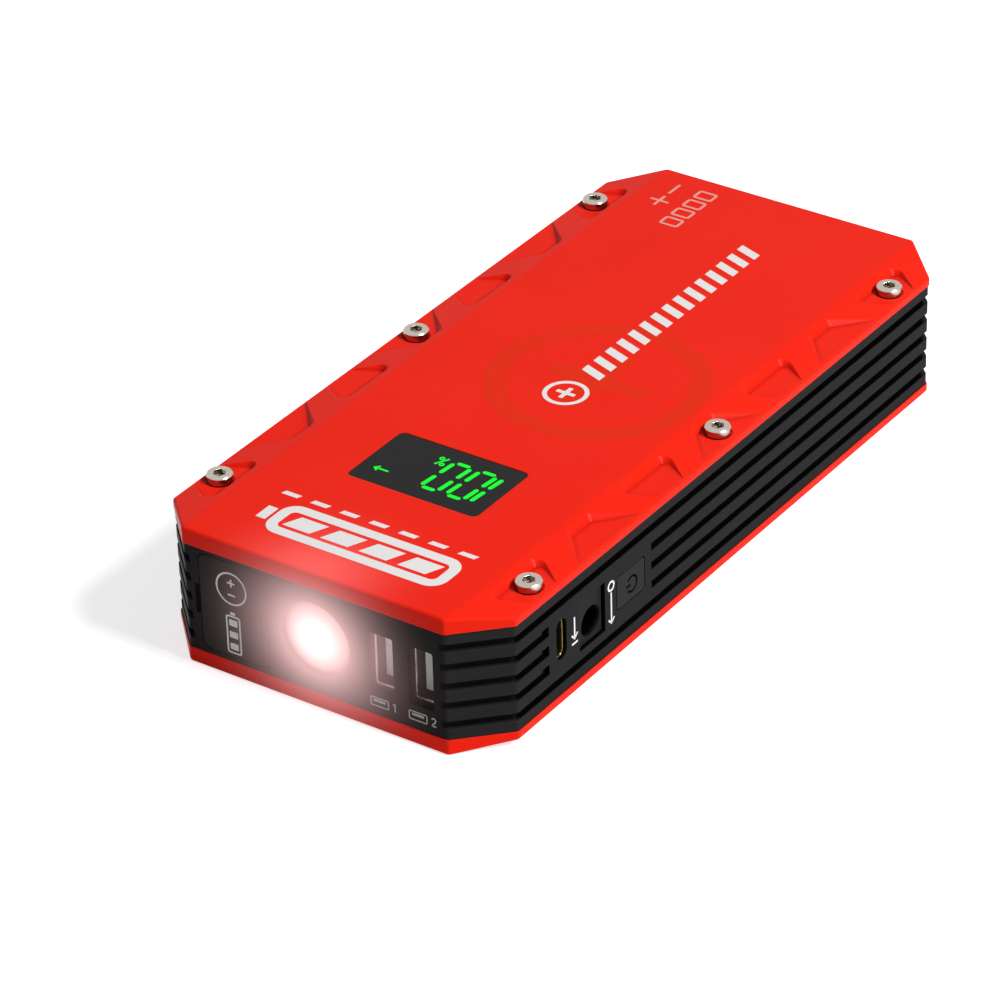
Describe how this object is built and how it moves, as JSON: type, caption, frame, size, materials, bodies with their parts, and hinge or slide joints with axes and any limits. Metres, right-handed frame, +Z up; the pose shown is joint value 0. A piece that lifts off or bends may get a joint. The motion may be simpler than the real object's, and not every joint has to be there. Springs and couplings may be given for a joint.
{
  "type": "jump starter pack",
  "caption": "Flat eight-sided car jump starter pack: red covers, finned black frame, torch, display, capped jump socket, charging ports and power button.",
  "frame": {"origin": "middle of the flat face it stands on", "axes": "+Z up out of the display, +Y along its length away from the torch end, +X towards the power button"},
  "size_m": [0.083, 0.178, 0.0318],
  "materials": {
    "cover_red": "moulded shell with satin red paint",
    "frame_black": "fine spark texture",
    "cap_black": "smooth soft plastic",
    "button_black": "satin",
    "screw_nickel": "nickel plated",
    "insert_brass": "knurled",
    "window_smoke": "polished smoked plate",
    "module_grey": "moulded",
    "board_green": "solder mask",
    "lens_clear": "polished",
    "reflector_bright": "vacuum metallised",
    "emitter_yellow": "phosphor under clear dome",
    "socket_blue": "glass filled nylon",
    "contact_tin": "tinned",
    "shell_steel": "bright steel sheet",
    "tongue_grey": "moulded",
    "contact_gold": "gold flashed",
    "jack_black": "moulded",
    "pin_nickel": "nickel plated",
    "part_black": "moulded epoxy",
    "ferrite_grey": "sintered",
    "can_silver": "sleeved can",
    "pouch_silver": "pouch film",
    "foam_grey": "closed cell foam",
    "lead_red": "silicone insulation",
    "lead_black": "silicone insulation"
  },
  "bodies": {
    "housing": {"top_cover": "cover_red", "bottom_cover": "cover_red", "middle_frame": "frame_black", "cover_screws": "screw_nickel", "thread_inserts": "insert_brass", "board_screws": "screw_nickel", "display_window": "window_smoke", "display_module": "module_grey", "display_board": "board_green", "torch_lens": "lens_clear", "torch_reflector": "reflector_bright", "torch_board": "board_green", "torch_emitter": "emitter_yellow", "jump_socket": "socket_blue", "jump_contacts": "contact_tin", "cap_anchor": "cap_black", "usb_a_shells": "shell_steel", "usb_a_tongues": "tongue_grey", "usb_a_contacts": "contact_gold", "usb_c_shell": "shell_steel", "usb_c_tongue": "part_black", "power_jack": "jack_black", "power_jack_pin": "pin_nickel", "button_switch": "part_black", "main_board": "board_green", "side_board": "board_green", "board_header": "part_black", "tab_board": "board_green", "power_transistors": "part_black", "choke": "ferrite_grey", "capacitors": "can_silver", "controller_chip": "part_black", "battery_cell_1": "pouch_silver", "battery_cell_2": "pouch_silver", "battery_cell_3": "pouch_silver", "cell_tabs": "contact_tin", "foam_pads": "foam_grey", "lead_positive": "lead_red", "lead_negative": "lead_black"},
    "cap": {"socket_cap": "cap_black"},
    "button": {"power_button": "button_black", "switch_plunger": "button_black"}
  },
  "joints": [
    {"name": "cap_hinge", "type": "hinge", "parent": "housing", "child": "cap", "pos_m": [-0.0131, -0.08875, 0.01585], "axis": [0, 0, 1], "range_deg": [0, 120], "stiffness_Nm_per_rad": 0.001},
    {"name": "button_press", "type": "slide", "parent": "housing", "child": "button", "axis": [-1, 0, 0], "range_m": [0, 0.0005], "stiffness_N_per_m": 2000}
  ]
}
